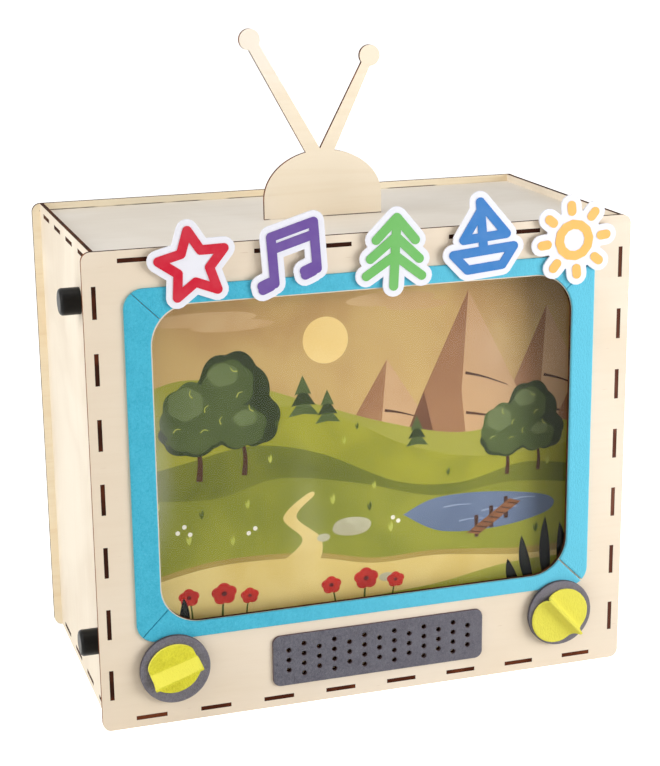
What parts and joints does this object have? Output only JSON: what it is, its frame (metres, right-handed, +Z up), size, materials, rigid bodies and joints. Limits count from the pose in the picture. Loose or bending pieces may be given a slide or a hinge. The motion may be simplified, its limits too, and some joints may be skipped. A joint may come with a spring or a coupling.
{
  "type": "toy television",
  "caption": "Toy television: slotted plywood box with a window onto a picture scroll wound on knobbed rollers, felt trim, turning front dials and a rabbit-ear antenna.",
  "frame": {"origin": "middle of the footprint at the surface that the toy stands on", "axes": "+X to the viewer's right along the front, +Y from the front panel to the back panel, +Z up"},
  "size_m": [0.4174, 0.2224, 0.4771],
  "materials": {
    "plywood": "bare laser-cut basswood plywood, satin",
    "dowel_wood": "bare turned dowel",
    "cap_rubber": "smooth black rubber",
    "blue_felt": "pressed felt",
    "grey_felt": "pressed felt",
    "yellow_felt": "pressed felt",
    "clear_sheet": "clear plastic sheet",
    "picture_paper": "printed paper",
    "star_card": "printed card",
    "notes_card": "printed card",
    "tree_card": "printed card",
    "boat_card": "printed card",
    "sun_card": "printed card",
    "pad_foam": "white foam pad",
    "pin_metal": "plain metal pin"
  },
  "bodies": {
    "cabinet": {"front_panel": "plywood", "back_panel": "plywood", "left_side_panel": "plywood", "right_side_panel": "plywood", "top_panel": "plywood", "bottom_panel": "plywood", "antenna": "plywood", "window_sheet": "clear_sheet", "story_scroll": "picture_paper", "felt_frame_left": "blue_felt", "felt_frame_right": "blue_felt", "felt_frame_top": "blue_felt", "felt_frame_bottom": "blue_felt", "speaker_felt": "grey_felt", "dial_washers": "pin_metal", "star_badge": "star_card", "notes_badge": "notes_card", "tree_badge": "tree_card", "boat_badge": "boat_card", "sun_badge": "sun_card", "badge_pads": "pad_foam"},
    "upper_roller": {"upper_dowel": "dowel_wood", "upper_paper_roll": "picture_paper", "upper_left_cap": "cap_rubber", "upper_right_cap": "cap_rubber"},
    "lower_roller": {"lower_dowel": "dowel_wood", "lower_paper_roll": "picture_paper", "lower_left_cap": "cap_rubber", "lower_right_cap": "cap_rubber"},
    "left_dial": {"left_dial_disc": "grey_felt", "left_dial_grip": "yellow_felt", "left_dial_pin": "pin_metal", "left_dial_clip": "pin_metal"},
    "right_dial": {"right_dial_disc": "grey_felt", "right_dial_grip": "yellow_felt", "right_dial_pin": "pin_metal", "right_dial_clip": "pin_metal"}
  },
  "joints": [
    {"name": "upper_roller_turn", "type": "hinge", "parent": "cabinet", "child": "upper_roller", "pos_m": [0, -0.0508, 0.302], "axis": [1, 0, 0], "range_deg": [-7200, 7200]},
    {"name": "lower_roller_turn", "type": "hinge", "parent": "cabinet", "child": "lower_roller", "pos_m": [0, -0.0648, 0.056], "axis": [1, 0, 0], "range_deg": [-7200, 7200]},
    {"name": "left_dial_turn", "type": "hinge", "parent": "cabinet", "child": "left_dial", "pos_m": [-0.1476, -0.0968, 0.0426], "axis": [0, 1, 0], "continuous": true},
    {"name": "right_dial_turn", "type": "hinge", "parent": "cabinet", "child": "right_dial", "pos_m": [0.1486, -0.0968, 0.0445], "axis": [0, 1, 0], "continuous": true}
  ],
  "couplings": [
    {"joint": "lower_roller_turn", "follows": "upper_roller_turn", "ratio": 1}
  ]
}
